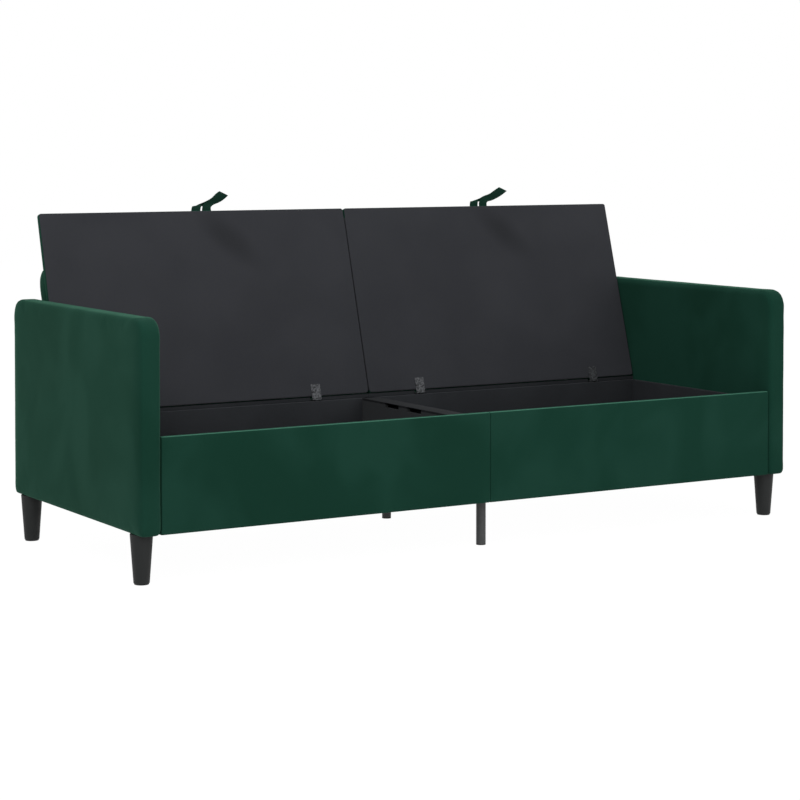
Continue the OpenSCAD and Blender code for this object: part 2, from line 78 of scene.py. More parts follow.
class Wire:      # a node's socket, with sums
    def __init__(self, sheet, socket):
        self.sheet, self.socket = sheet, socket

    def sum(self, operation, first, second):
        return self.sheet.add("ShaderNodeMath", {"operation": operation},
                              {0: first, 1: second})

    def __add__(self, other): return self.sum("ADD", self, other)
    def __radd__(self, other): return self.sum("ADD", other, self)
    def __rsub__(self, other): return self.sum("SUBTRACT", other, self)
    def __mul__(self, other): return self.sum("MULTIPLY", self, other)


class Sheet:     # the nodes of one material or of the world
    def __init__(self, tree):
        self.tree = tree
        tree.nodes.clear()

    def add(self, kind, settings=None, inputs=None, out=0):
        node = self.tree.nodes.new(kind)
        for name, value in (settings or {}).items():
            setattr(node, name, value)
        for name, value in (inputs or {}).items():
            if isinstance(value, Wire):
                self.tree.links.new(value.socket, node.inputs[name])
            else:
                node.inputs[name].default_value = value
        return Wire(self, node.outputs[out]) if len(node.outputs) else node

    def place(self, stretch=(1, 1, 1)):
        where = self.add("ShaderNodeTexCoord", out=3)      # the piece's own coordinates
        return self.add("ShaderNodeMapping", inputs={"Vector": where, "Scale": stretch})

    def cloud(self, size, stretch=(1, 1, 1), detail=3, rough=0.55, bend=0):
        return self.add("ShaderNodeTexNoise", {"normalize": True}, {
            "Vector": self.place(stretch), "Scale": 1 / size, "Detail": detail,
            "Roughness": rough, "Distortion": bend})

    def span(self, value, low, high, newLow=0, newHigh=1):
        return self.add("ShaderNodeMapRange", {"interpolation_type": "SMOOTHSTEP"}, {
            "Value": value, "From Min": low, "From Max": high,
            "To Min": newLow, "To Max": newHigh})

    def blend(self, share, first, second):
        return self.add("ShaderNodeMix", {"data_type": "RGBA"},
                        {0: share, 6: first, 7: second}, out=2)

    def bump(self, height, depth, strength=1.0, under=None):
        inputs = {"Height": height, "Distance": depth, "Strength": strength}
        if under:
            inputs["Normal"] = under
        return self.add("ShaderNodeBump", inputs=inputs)


def colour(red, green, blue):
    def flat(v):
        v /= 255
        return v / 12.92 if v <= 0.04045 else ((v + 0.055) / 1.055) ** 2.4
    return (flat(red), flat(green), flat(blue), 1)


def newFinish(name, paint):
    finish = bpy.data.materials.new(name)
    finish.use_nodes = True
    sheet = Sheet(finish.node_tree)
    surface = sheet.add("ShaderNodeBsdfPrincipled", inputs=paint(sheet))
    sheet.add("ShaderNodeOutputMaterial", inputs={"Surface": surface})
    return finish


velvetLook = {
    "deep": colour(18, 54, 42), "mid": colour(20, 58, 46), "brushed": colour(28, 67, 55),
    "patch": 0.21, "drift": 0.6, "pile": 0.0011,
    "sheen": 0.27, "sheenRough": 0.35, "sheenTint": colour(135, 215, 178),
    "pileShade": colour(6, 24, 17), "fold": 0.07,
    "paintedRailSheen": colour(74, 128, 108), "paintedRailSheenShare": 0.8,      # painted highlight: the front rail's top edge is painted pale, as sheen
    "paintedRailSheenFrom": 0.3795, "railTop": 0.3825, "railBack": -0.421, "railEnd": 0.9995,
    "ribbonFrom": 0.926, "ribbonShade": colour(8, 27, 20), "ribbonShare": 0.6,
}


def velvetPaint(s):
    look = velvetLook
    drift = s.span(s.cloud(look["drift"], (1, 1, 1), 1, 0.5), 0.35, 0.65)
    patch = s.span(s.cloud(look["patch"], (1, 1, 0.75), 2, 0.45, 0.5), 0.4, 0.66)
    pile = s.cloud(look["pile"], (1, 1, 1), 2, 0.7)
    fold = s.cloud(look["fold"], (1, 1, 1), 2, 0.5)
    tone = s.blend(drift, look["deep"], look["mid"])
    tone = s.blend(patch * 0.5, tone, look["brushed"])
    tone = s.blend(s.span(pile, 0.3, 0.7, 0.25, 0), tone, look["pileShade"])
    where = s.place()      # painted highlight: the front rail's top edge is painted pale, as sheen catching the light
    x, y, z = (s.add("ShaderNodeSeparateXYZ", inputs={0: where}, out=k) for k in range(3))
    paintedSheenOnRail = s.span(z, look["paintedRailSheenFrom"], look["paintedRailSheenFrom"] + 0.001, 0, look["paintedRailSheenShare"])
    paintedSheenOnRail = paintedSheenOnRail * s.span(y, look["railBack"], look["railBack"] + 0.0005, 1, 0)
    paintedSheenOnRail = paintedSheenOnRail * s.span(x * x, look["railEnd"] ** 2, look["railEnd"] ** 2 + 0.0005, 1, 0)
    paintedSheenOnRail = paintedSheenOnRail * s.span(z, look["railTop"], look["railTop"] + 0.0005, 1, 0)
    tone = s.blend(paintedSheenOnRail, tone, look["paintedRailSheen"])
    onRibbon = s.span(z, look["ribbonFrom"] - 0.001, look["ribbonFrom"] + 0.001, 0,
                      look["ribbonShare"])
    tone = s.blend(onRibbon, tone, look["ribbonShade"])
    normal = s.bump(fold, 0.0012, 0.3)
    normal = s.bump(pile, 0.0005, 0.5, normal)
    return {"Base Color": tone, "Roughness": 0.95 - patch * 0.08, "Normal": normal,
            "Sheen Weight": look["sheen"], "Sheen Roughness": look["sheenRough"],
            "Sheen Tint": look["sheenTint"], "Specular IOR Level": 0.08}


liningLook = {"dark": colour(45, 46, 50), "light": colour(50, 51, 55), "fibre": 0.0016,
              "lit": colour(66, 68, 72), "dots": 420.0, "drift": 0.25,
              # painted shadow of the ribbons on the lining: rub is its share, and the keys beside it give its
              # colour, turn, spots and size
              "ribbonShadowTone": colour(27, 28, 30), "rub": 0.42, "ribbonShadowTurn": -49,
              "ribbonShadowSpots": ((-0.405, 0.842), (0.575, 0.842)), "ribbonShadowSize": (0.055, 0.145)}


def liningPaint(s):
    look = liningLook
    fibre = s.cloud(look["fibre"], (1, 1, 1), 3, 0.75, 2.0)
    drift = s.cloud(look["drift"], (1, 1, 1), 2, 0.5)
    dots = s.add("ShaderNodeTexVoronoi", {"feature": "F1"},
                 {"Vector": s.place(), "Scale": look["dots"], "Randomness": 0.25})
    press = s.span(dots, 0.15, 0.5)
    tone = s.blend(s.span(drift, 0.3, 0.7), look["dark"], look["light"])
    tone = s.blend(s.span(fibre, 0.35, 0.7, 0.0, 0.35), tone, look["lit"])
    turn = math.radians(look["ribbonShadowTurn"])
    for across, up in look["ribbonShadowSpots"]:      # painted shadow: a soft dark smear on the lining below each ribbon's base
        where = s.add("ShaderNodeTexCoord", out=3)
        spot = s.add("ShaderNodeMapping", {"vector_type": "TEXTURE"}, {
            "Vector": where, "Location": (across, 0, up), "Rotation": (0, turn, 0),
            "Scale": (look["ribbonShadowSize"][0], 10, look["ribbonShadowSize"][1])})
        away = s.add("ShaderNodeVectorMath", {"operation": "LENGTH"}, {0: spot}, out=1)
        tone = s.blend(s.span(away, 0.1, 1.1, look["rub"], 0), tone, look["ribbonShadowTone"])
    normal = s.bump(press, 0.0002, 0.3)
    normal = s.bump(fibre, 0.0003, 0.35, normal)
    return {"Base Color": tone, "Roughness": 0.86 + fibre * 0.1, "Normal": normal,
            "Specular IOR Level": 0.15}


# The centre divider's cap is painted darker, as painted shade, and its sides paler, as painted light, than the
# other boards
darkBoardLook = {
    "dark": colour(37, 39, 42), "light": colour(43, 45, 48), "lit": colour(52, 54, 58),
    "grain": 0.0022, "drift": 0.18,
    # cap is the painted shade on the divider's top, and side is the painted light on its sides
    "half": 0.0283, "back": 0.2272, "capFrom": 0.3518, "capPaintedShadeShare": 0.55,
    "cap": colour(18, 19, 20), "sidePaintedLightShare": 0.5, "side": colour(66, 68, 69),
}


def boardPaint(s):
    look = darkBoardLook
    grain = s.cloud(look["grain"], (0.5, 1, 1), 3, 0.7, 1.0)
    drift = s.cloud(look["drift"], (1, 1, 1), 2, 0.5)
    tone = s.blend(s.span(drift, 0.3, 0.7), look["dark"], look["light"])
    tone = s.blend(s.span(grain, 0.4, 0.7, 0, 0.3), tone, look["lit"])
    x, y, z = (s.add("ShaderNodeSeparateXYZ", inputs={0: s.place()}, out=k) for k in range(3))
    onDivider = s.span(x * x, look["half"] ** 2, look["half"] ** 2 + 0.00001, 1, 0)
    onDivider = onDivider * s.span(y, look["back"], look["back"] + 0.0002, 1, 0)
    high = s.span(z, look["capFrom"], look["capFrom"] + 0.0002)
    # painted shade on the divider's cap, and painted light on its sides
    tone = s.blend(onDivider * high * look["capPaintedShadeShare"], tone, look["cap"])
    tone = s.blend(onDivider * (1 - high) * look["sidePaintedLightShare"], tone, look["side"])
    return {"Base Color": tone, "Roughness": 0.8 + grain * 0.12,
            "Normal": s.bump(grain, 0.0003, 0.35), "Specular IOR Level": 0.15}


plyLook = {"dark": colour(186, 152, 108), "light": colour(214, 184, 140),
           "pores": colour(140, 104, 68), "grain": 0.012, "pore": 0.0016}


def plyPaint(s):
    look = plyLook
    grain = s.cloud(look["grain"], (0.06, 1, 1), 4, 0.6, 0.8)
    pore = s.cloud(look["pore"], (0.08, 1, 1), 2, 0.7)
    tone = s.blend(s.span(grain, 0.3, 0.7), look["dark"], look["light"])
    tone = s.blend(s.span(pore, 0.52, 0.68, 0, 0.4), tone, look["pores"])
    return {"Base Color": tone, "Roughness": 0.6 + grain * 0.15,
            "Normal": s.bump(pore, 0.0003, 0.4)}


def metalPaint(dark, light, metal, rough, mottle=0.02):
    def paint(s):
        brush = s.cloud(0.0009, (0.15, 1, 1), 3, 0.6)
        cloud = s.cloud(mottle, (1, 1, 1), 3, 0.6)
        tone = s.blend(s.span(cloud, 0.3, 0.7), dark, light)
        return {"Base Color": tone, "Metallic": metal, "Roughness": rough + brush * 0.14,
                "Normal": s.bump(brush, 0.00008, 0.4)}
    return paint


plasticLook = {"dark": colour(25, 27, 27), "light": colour(31, 33, 33),
               "grain": 0.0012, "rub": 0.05}


def plasticPaint(s):
    look = plasticLook
    grain = s.cloud(look["grain"], (1, 1, 1), 2, 0.6)
    rub = s.span(s.cloud(look["rub"], (1, 1, 2.5), 3, 0.6), 0.45, 0.75)
    tone = s.blend(rub * 0.5, look["dark"], look["light"])
    return {"Base Color": tone, "Roughness": 0.55 + rub * 0.12,
            "Normal": s.bump(grain, 0.00025, 0.35), "Specular IOR Level": 0.25}


feltLook = {"dark": colour(20, 20, 21), "light": colour(44, 44, 46), "fluff": 0.001}


def feltPaint(s):
    look = feltLook
    fluff = s.cloud(look["fluff"], (1, 1, 1), 3, 0.7, 1.5)
    tone = s.blend(fluff, look["dark"], look["light"])
    return {"Base Color": tone, "Roughness": 0.95, "Normal": s.bump(fluff, 0.0006, 0.6),
            "Sheen Weight": 0.3}


finishes = {
    "velvet": newFinish("greenVelvet", velvetPaint),
    "lining": newFinish("charcoalLining", liningPaint),
    "dark_board": newFinish("darkBoard", boardPaint),
    "plywood": newFinish("rawPly", plyPaint),
    "zinc_steel": newFinish("zincSteel", metalPaint(
        colour(36, 37, 39), colour(84, 86, 89), 0.75, 0.45, 0.006)),
    "grey_steel": newFinish("greySteel", metalPaint(
        colour(50, 52, 52), colour(62, 64, 64), 0.1, 0.5)),
    "black_plastic": newFinish("blackPlastic", plasticPaint),
    "felt": newFinish("blackFelt", feltPaint),
}
slotOf = {s["node"]: s["material_slot"] for s in record["subparts"]}
bodyOf = {node: body for body, nodes in record["behaviour"]["bodies"].items()
          for node in nodes}
for nodeName, nodeObject in frame["nodes"].items():
    nodeObject.data.materials.clear()
    nodeObject.data.materials.append(finishes[slotOf[nodeName]])
print("finishes made")


def finishPiece(bm, name, nodes, turn=None, levels=0):
    if turn:
        bmesh.ops.transform(bm, matrix=turn, verts=bm.verts)
    bmesh.ops.recalc_face_normals(bm, faces=bm.faces)
    mesh = bpy.data.meshes.new(name)
    bm.to_mesh(mesh)
    bm.free()
    piece = bpy.data.objects.new(name, mesh)
    scene.collection.objects.link(piece)
    mesh.polygons.foreach_set("use_smooth", [True] * len(mesh.polygons))
    mesh.materials.append(finishes[slotOf[nodes[0]]])
    if levels:
        rounder = piece.modifiers.new("rounder", "SUBSURF")
        rounder.levels = rounder.render_levels = levels
    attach(piece, bodyOf[nodes[0]])
    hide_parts(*nodes)
    return piece


def boxMesh(low, high):
    bm = bmesh.new()
    bmesh.ops.create_cube(bm, size=1)
    size = Vector(high) - Vector(low)
    bmesh.ops.scale(bm, vec=size, verts=bm.verts)
    bmesh.ops.translate(bm, vec=(Vector(high) + Vector(low)) / 2, verts=bm.verts)
    return bm


def roundOff(bm, edges, radius, segments):
    bmesh.ops.bevel(bm, geom=list(edges), offset=radius, offset_type="OFFSET",
                    affect="EDGES", segments=segments, profile=0.5, material=-1,
                    clamp_overlap=True)


def runsAlong(edge, axis):
    way = edge.verts[1].co - edge.verts[0].co
    return abs(way[axis]) > 0.99 * way.length


def middle(edge):
    return (edge.verts[0].co + edge.verts[1].co) / 2


def gridCuts(bm, low, high, steps):
    for axis, step in enumerate(steps):
        if not step:
            continue
        count = max(1, round((high[axis] - low[axis]) / step))
        way = Vector([axis == a for a in range(3)])
        for k in range(1, count):
            at = low[axis] + (high[axis] - low[axis]) * k / count
            bmesh.ops.bisect_plane(bm, geom=bm.verts[:] + bm.edges[:] + bm.faces[:],
                                   dist=1e-6, plane_co=way * at, plane_no=way)


def ripple(co, size, depth, seed):
    return noise.noise(co / size + Vector((seed, seed * 1.7, -seed))) * depth


def leanedBox(node):
    back = alongLean.inverted()
    spots = [back @ v.co for v in frame["nodes"][node].data.vertices]
    low = Vector([min(p[a] for p in spots) for a in range(3)])
    high = Vector([max(p[a] for p in spots) for a in range(3)])
    return low, high


def settle(piece):
    graph = bpy.context.evaluated_depsgraph_get()
    made = bpy.data.meshes.new_from_object(piece.evaluated_get(graph))
    piece.modifiers.clear()
    old, piece.data = piece.data, made
    bpy.data.meshes.remove(old)


clothLook = {"quality": 4, "mass": 0.3, "stretch": 12, "bend": 0.6, "frames": 20}


# Swells a closed shape like stuffing under cloth, holds the swelling to a few
# millimetres and keeps it inside the room that the piece has.
def stuff(bm, look, low, high):
    mesh = bpy.data.meshes.new("stuffing")
    bm.to_mesh(mesh)
    bm.free()
    pad = bpy.data.objects.new("stuffing", mesh)
    scene.collection.objects.link(pad)
    skin = pad.modifiers.new("skin", "REMESH")
    skin.mode = "VOXEL"
    skin.voxel_size = look["voxel"]
    settle(pad)
    bm = bmesh.new()
    bm.from_mesh(pad.data)
    for turn in range(look["soften"]):
        bmesh.ops.smooth_vert(bm, verts=bm.verts, factor=0.5, use_axis_x=True,
                              use_axis_y=True, use_axis_z=True)
    bm.to_mesh(pad.data)
    cloth = pad.modifiers.new("cloth", "CLOTH")
    cloth.settings.quality = clothLook["quality"]
    cloth.settings.mass = clothLook["mass"]
    cloth.settings.tension_stiffness = clothLook["stretch"]
    cloth.settings.compression_stiffness = clothLook["stretch"]
    cloth.settings.bending_stiffness = clothLook["bend"]
    cloth.settings.use_pressure = True
    cloth.settings.uniform_pressure_force = look["pressure"]
    cloth.settings.effector_weights.gravity = 0
    cloth.point_cache.frame_start, cloth.point_cache.frame_end = 1, clothLook["frames"]
    for step in range(1, clothLook["frames"] + 1):
        scene.frame_set(step)
    blown = pad.evaluated_get(bpy.context.evaluated_depsgraph_get()).data
    for v, w in zip(bm.verts, blown.vertices):
        move = w.co - v.co
        if move.length > 1e-9:
            move *= look["cap"] * math.tanh(move.length / look["cap"]) / move.length
        v.co += move
    scene.frame_set(1)
    for v in bm.verts:
        v.co = Vector([min(max(v.co[a], low[a]), high[a]) for a in range(3)])
    bpy.data.objects.remove(pad)
    return bm


armLook = {
    "corner": 50 * mm, "foot": 9 * mm, "edge": 14 * mm, "hem": 5 * mm, "inset": 1 * mm,
    "voxel": 7 * mm, "soften": 2, "pressure": 4.0, "cap": 3.5 * mm, "spare": 3 * mm,
    "taper": 2.5 * mm, "taperReach": 90 * mm,
    "sole": 20 * mm, "soleDrop": 1.5 * mm, "soleSpare": 0.3 * mm, "smoothFrom": 4 * mm,
    "ripple": 0.5 * mm, "rippleSize": 0.11,
}


def makeArms(look):
    low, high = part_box("left_arm_cover")
    shy = Vector([look["inset"]] * 3)
    bm = boxMesh(low + shy, high - shy)
    waist = (low.z + high.z) / 2
    roundOff(bm, [e for e in bm.edges if runsAlong(e, 0) and middle(e).z > waist],
             look["corner"] - shy.x, 9)
    roundOff(bm, [e for e in bm.edges if runsAlong(e, 0) and middle(e).z < waist],
             look["foot"], 4)
    floor = low.z + shy.z + near
    rim = [e for e in bm.edges if not runsAlong(e, 0) and middle(e).z > floor]
    roundOff(bm, rim, look["edge"], 5)
    hem = [e for e in bm.edges if runsAlong(e, 1) and middle(e).z < floor]
    roundOff(bm, hem, look["hem"], 3)
    room = Vector([look["spare"]] * 3)
    bm = stuff(bm, look, low - room, high + Vector((0, *room.yz)))
    centre = (low + high) / 2
    lowest = min(v.co.z for v in bm.verts)
    sole = low.z + look["sole"]
    for v in bm.verts:       # thinner towards the front and back, flat underneath
        ends = min(v.co.y - low.y, high.y - v.co.y) / look["taperReach"]
        narrow = look["taper"] * max(0, 1 - ends) ** 2
        v.co.x -= (v.co.x - centre.x) / (high.x - centre.x) * narrow
        if v.co.z < sole:
            share = (sole - v.co.z) / (sole - lowest)
            v.co.z = max(sole - share * (sole - low.z + look["soleDrop"]),
                         low.z - look["soleSpare"])
    for side, node in ((1, "left_arm_cover"), (-1, "right_arm_cover")):
        arm = bm.copy()
        if side < 0:
            bmesh.ops.scale(arm, vec=(-1, 1, 1), verts=arm.verts)
            bmesh.ops.reverse_faces(arm, faces=arm.faces)
        arm.normal_update()
        for v in arm.verts:
            if v.co.z > low.z + look["smoothFrom"]:
                v.co -= v.normal * abs(ripple(v.co, look["rippleSize"], look["ripple"], side))
        piece = finishPiece(arm, node.replace("_cover", "_upholstery"), [node], levels=1)
    bm.free()


backLook = {
    "edge": 23 * mm, "foot": 4 * mm, "end": 9 * mm, "inset": 1.5 * mm, "wider": 7 * mm,
    "taller": 13 * mm, "shoulder": 60 * mm, "slope": 9 * mm,
    "voxel": 8 * mm, "soften": 2, "spare": 3 * mm,
    "pressure": 4.0, "cap": 6 * mm, "ripple": 0.8 * mm, "rippleSize": 0.14,
}


def makeBack(look):
    low, high = leanedBox("back_cover")
    shy = Vector([look["inset"]] * 3)
    bm = boxMesh(low + shy, high - shy)
    top = (low.z + high.z) / 2
    roundOff(bm, [e for e in bm.edges if runsAlong(e, 0) and middle(e).z > top],
             look["edge"], 6)
    roundOff(bm, [e for e in bm.edges if runsAlong(e, 0) and middle(e).z < top],
             look["foot"], 2)
    roundOff(bm, [e for e in bm.edges if not runsAlong(e, 0)], look["end"], 4)
    room = Vector((look["spare"], 0, 0))
    bm = stuff(bm, look, low - room, high + room + Vector((0, look["spare"], look["spare"])))
    bm.normal_update()
    for v in bm.verts:
        v.co -= v.normal * abs(ripple(v.co, look["rippleSize"], look["ripple"], 4))
        v.co.x *= 1 + look["wider"] / high.x
        v.co.z = low.z + (v.co.z - low.z) * (1 + look["taller"] / (high.z - low.z))
        above = max(0, v.co.z - high.z + look["shoulder"]) / look["shoulder"]
        v.co.x *= 1 - above ** 2 * look["slope"] / high.x
    piece = finishPiece(bm, "back_upholstery", ["back_cover"], alongLean, levels=1)


railLook = {
    "edge": 5 * mm, "end": 2 * mm, "step": 22 * mm, "crown": 1.2 * mm,
    "flatAcross": 24, "flatUp": 6, "ripple": 0.35 * mm, "rippleSize": 0.09,
}
skirtLook = {
    "edge": 0.6 * mm, "end": 0.6 * mm, "step": 30 * mm, "crown": 0,
    "flatAcross": 24, "flatUp": 6, "ripple": 0.25 * mm, "rippleSize": 0.12,
}


# Velvet pulled tight round a board: rounded along its length, crisp at its ends
def makeTautPad(name, node, look, seed):
    low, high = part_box(node)
    bm = boxMesh(low, high)
    roundOff(bm, [e for e in bm.edges if runsAlong(e, 0)], look["edge"], 4)
    ends = [e for e in bm.edges if not runsAlong(e, 0)]
    roundOff(bm, ends, look["end"], 3)
    gridCuts(bm, low, high, (look["step"], 0, look["step"]))
    bm.normal_update()
    centre, half = (low + high) / 2, (high - low) / 2
    for v in bm.verts:
        across = min(1, abs(v.co.x - centre.x) / half.x)
        upward = min(1, abs(v.co.z - centre.z) / half.z)
        flat = (1 - across ** look["flatAcross"]) * (1 - upward ** look["flatUp"])
        drop = look["crown"] * (1 - flat) + abs(ripple(v.co, look["rippleSize"],
                                                       look["ripple"], seed))
        if v.co.y < centre.y:
            v.co.y += drop
    finishPiece(bm, name, [node], levels=1)


boardLook = {"edge": 1.6 * mm, "segments": 3}


def makeBoard(node, look, extra=()):
    whole = bmesh.new()
    for low, high in (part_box(node), *extra):
        bm = boxMesh(low, high)
        edge = min(look["edge"], min(high - low) / 3)
        roundOff(bm, bm.edges, edge, look["segments"])
        addTo(whole, bm)
    shadeByAngle(finishPiece(whole, node + "_lined", [node]))


# A dark strip of lining stands in for the shade in the gap behind the seat boards, as painted shade;
# it closes that gap between the hinges and runs back under the foot of the back
gapShadeStripLook = {"fore": 5 * mm, "deep": 6 * mm, "rise": 10.5 * mm, "sunk": 2 * mm,
            "hinges": (182 * mm, 836 * mm), "clear": 17 * mm, "middle": 0.2 * mm,
            "shelf": 2.5 * mm, "leafBack": 17.2 * mm, "shelfBack": 28 * mm}


def makeRearRail(side, look):
    node = "rear_rail_" + side
    low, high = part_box(node)
    stops = [look["middle"]]
    for at in look["hinges"]:
        stops += [at - look["clear"], at + look["clear"]]
    stops.append(max(abs(low.x), abs(high.x)))
    way = math.copysign(1, low.x + high.x)
    strips = []
    for a, b in zip(stops[::2], stops[1::2]):
        ends = sorted((a * way, b * way))
        strips.append((Vector((ends[0], pin.y + look["fore"], high.z - look["sunk"])),
                       Vector((ends[1], pin.y + look["fore"] + look["deep"],
                               high.z + look["rise"]))))
        strips.append((Vector((ends[0], pin.y + look["fore"], high.z - look["sunk"])),
                       Vector((ends[1], pin.y + look["shelfBack"],
                               high.z + look["shelf"]))))
    for a, b in zip(stops[1::2], stops[2::2]):      # behind a hinge's leaf
        ends = sorted((a * way, b * way))
        strips.append((Vector((ends[0] - mm, pin.y + look["leafBack"], high.z - look["sunk"])),
                       Vector((ends[1] + mm, pin.y + look["shelfBack"],
                               high.z + look["shelf"]))))
    makeBoard(node, boardLook, strips)


capLook = {"plate": 1.6 * mm, "under": 0.2 * mm, "edge": 0.5 * mm,
           "slots": (0.471, 0.696), "slotLength": 79 * mm}


# The divider's lined top: thin over the finger slots, deeper between them
def makeDividerCap(look):
    low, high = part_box("divider_cap")
    stops = [low.y]
    for share in look["slots"]:
        at = low.y + share * (high.y - low.y)
        stops += [at - look["slotLength"] / 2, at + look["slotLength"] / 2]
    stops.append(high.y)
    whole = bmesh.new()
    parts = [(Vector((low.x, low.y, high.z - look["plate"])), high)]
    for a, b in zip(stops[::2], stops[1::2]):
        parts.append((Vector((low.x, a, low.z)), Vector((high.x, b, high.z - look["under"]))))
    for lowest, highest in parts:
        bm = boxMesh(lowest, highest)
        roundOff(bm, bm.edges, look["edge"], 2)
        addTo(whole, bm)
    shadeByAngle(finishPiece(whole, "divider_cap_lined", ["divider_cap"]))


def shadeByAngle(piece, degrees=40):
    bm = bmesh.new()
    bm.from_mesh(piece.data)
    for e in bm.edges:
        e.smooth = len(e.link_faces) == 2 and e.calc_face_angle(0) < math.radians(degrees)
    bm.to_mesh(piece.data)
    bm.free()


seatLook = {
    "edge": 5.5 * mm, "linedEdge": 1.2 * mm, "corner": 7 * mm, "rim": 6 * mm,
    "sink": 0.3 * mm, "lip": 0.3 * mm, "linedArea": 0.2, "step": 24 * mm,
    "ripple": 0.4 * mm, "rippleSize": 0.1, "dish": 1.2 * mm, "flat": 10, "under": 0.7 * mm,
}


# Drawn along the lean: x across, y through the board (lined face low), z up it
def makeSeat(side, look):
    low, high = leanedBox(side + "_lid_cover")
    low.y += look["under"]
    bm = boxMesh(low, high)
    roundOff(bm, [e for e in bm.edges if runsAlong(e, 1)], look["corner"], 5)
    topRim = [e for e in bm.edges if not runsAlong(e, 1) and middle(e).y > high.y - near]
    roundOff(bm, topRim, look["edge"], 4)
    faceRim = [e for e in bm.edges if not runsAlong(e, 1) and middle(e).y < low.y + near]
    roundOff(bm, faceRim, look["linedEdge"], 2)
    lined = [f for f in bm.faces
             if f.normal.y < -0.99 and f.calc_area() > look["linedArea"]]
    bmesh.ops.inset_region(bm, faces=lined, thickness=look["rim"] - look["linedEdge"],
                           depth=0, use_even_offset=True)
    bmesh.ops.inset_region(bm, faces=lined, thickness=look["lip"], depth=-look["sink"],
                           use_even_offset=True)
    gridCuts(bm, low, high, (look["step"], 0, look["step"]))
    centre, half = (low + high) / 2, (high - low) / 2
    for v in bm.verts:
        if v.co.y > centre.y:
            across = min(1, abs(v.co.x - centre.x) / half.x)
            upward = min(1, abs(v.co.z - centre.z) / half.z)
            flat = (1 - across ** look["flat"]) * (1 - upward ** look["flat"])
            v.co.y -= look["dish"] * (1 - flat) + abs(ripple(
                v.co, look["rippleSize"], look["ripple"], 3 + centre.x))
    finishPiece(bm, side + "_seat_velvet", [side + "_lid_cover"], alongLean, levels=1)


liningSheet = {"edge": 0.6 * mm, "step": 30 * mm, "ripple": 0.25 * mm, "rippleSize": 0.07,
               "margin": 0.8 * mm, "corner": 6 * mm,
               "turned": 10 * mm, "proud": 0.4 * mm, "depth": 3 * mm, "topClear": 30 * mm}


def makeSeatLining(side, look):
    low, high = leanedBox(side + "_lid_lining")
    coverLow, coverHigh = leanedBox(side + "_lid_cover")
    for a in (0, 2):
        low[a], high[a] = coverLow[a] + look["margin"], coverHigh[a] - look["margin"]
    bm = boxMesh(low, high)
    roundOff(bm, [e for e in bm.edges if runsAlong(e, 1)], look["corner"], 5)
    roundOff(bm, [e for e in bm.edges if not runsAlong(e, 1)], look["edge"], 2)
    gridCuts(bm, low, high, (look["step"], 0, look["step"]))
    for v in bm.verts:
        if v.co.y < (low.y + high.y) / 2:
            v.co.y += abs(ripple(v.co, look["rippleSize"], look["ripple"], 7))
    # turned in over the board's hinge edge, and over its edge beside the other board
    deep, proud = low.y + look["turned"], look["proud"]
    hem = [(Vector((low.x + look["corner"], low.y + proud, coverLow.z - proud)),
            Vector((high.x - look["corner"], deep, coverLow.z + look["depth"])))]
    inner = coverLow.x - proud if side == "right" else coverHigh.x - look["depth"]
    hem.append((Vector((inner, low.y + proud, coverLow.z + look["corner"])),
                Vector((inner + look["depth"] + proud, deep,
                        coverHigh.z - look["topClear"]))))
    for lowest, highest in hem:
        strip = boxMesh(lowest, highest)
        roundOff(strip, strip.edges, look["edge"], 2)
        addTo(bm, strip)
    finishPiece(bm, side + "_seat_lining", [side + "_lid_lining"], alongLean, levels=1)


# Each point: its place [across, over, beyond the edge] and where its width points
ribbonLook = {
    "wide": 31 * mm, "thick": 1.2 * mm, "steps": 6, "middle": 0.5,
    "points": {
        "left": [
            ((3.5, 8, 0.3), (1, 0, 0)), ((5.5, 8.5, 9), (1, 0, 0)),
            ((10, 11, 17), (1, 0, 0.05)), ((15, 17, 20.5), (1, -0.15, 0.1)),
            ((22, 24, 20.5), (0.9, -0.4, 0)), ((34, 28, 22), (0.85, -0.3, -0.2)),
            ((50, 28, 26), (0.9, 0.2, -0.3)), ((65, 26, 32), (0.85, 0.43, -0.31)),
            ((82, 28, 39.1), (0.8, 0.39, -0.45)), ((99.4, 33, 49.9), (0.78, 0.14, -0.61)),
            ((114.5, 36.5, 60), (0.87, -0.07, -0.49)), ((117, 35, 61.5), (0.87, -0.07, -0.49)),
            ((114.5, 33.3, 60), (0.87, -0.07, -0.49)), ((99.4, 30, 49.9), (0.78, 0.14, -0.61)),
            ((82, 25, 39), (0.8, 0.39, -0.45)), ((65, 20, 31), (0.85, 0.43, -0.31)),
            ((49.8, 14, 22.5), (0.96, 0.22, -0.19)), ((41, 9.5, 12), (1, 0.1, 0)),
            ((39, 8, 0.3), (1, 0, 0)),
        ],
        "right": [
            ((-14, 8, 0.3), (1, 0, 0)), ((-12, 8.5, 10), (1, 0, 0)),
            ((-7.5, 11, 18), (1, 0, 0.05)), ((-2.5, 17, 21.5), (1, -0.15, 0.1)),
            ((5, 24, 21.5), (0.9, -0.4, 0)), ((18, 28, 23), (0.85, -0.3, -0.2)),
            ((36, 28, 26), (0.9, 0.1, -0.3)), ((54, 26, 31.5), (0.85, 0.13, -0.5)),
            ((78, 28, 39), (0.85, 0.18, -0.49)), ((102, 33, 50.5), (0.84, 0.04, -0.54)),
            ((123.5, 36.5, 62), (0.9, -0.03, -0.45)), ((126, 35, 63.5), (0.9, -0.03, -0.45)),
            ((123.5, 33.3, 62), (0.9, -0.03, -0.45)), ((102, 30, 50.5), (0.84, 0.04, -0.54)),
            ((78, 25, 39), (0.85, 0.18, -0.49)), ((54, 20, 30.5), (0.85, 0.13, -0.5)),
            ((34.5, 14, 22.5), (0.96, 0.09, -0.25)), ((24, 10, 13), (1, 0.03, -0.05)),
            ((21, 8, 0.3), (1, 0, 0)),
        ],
    },
}


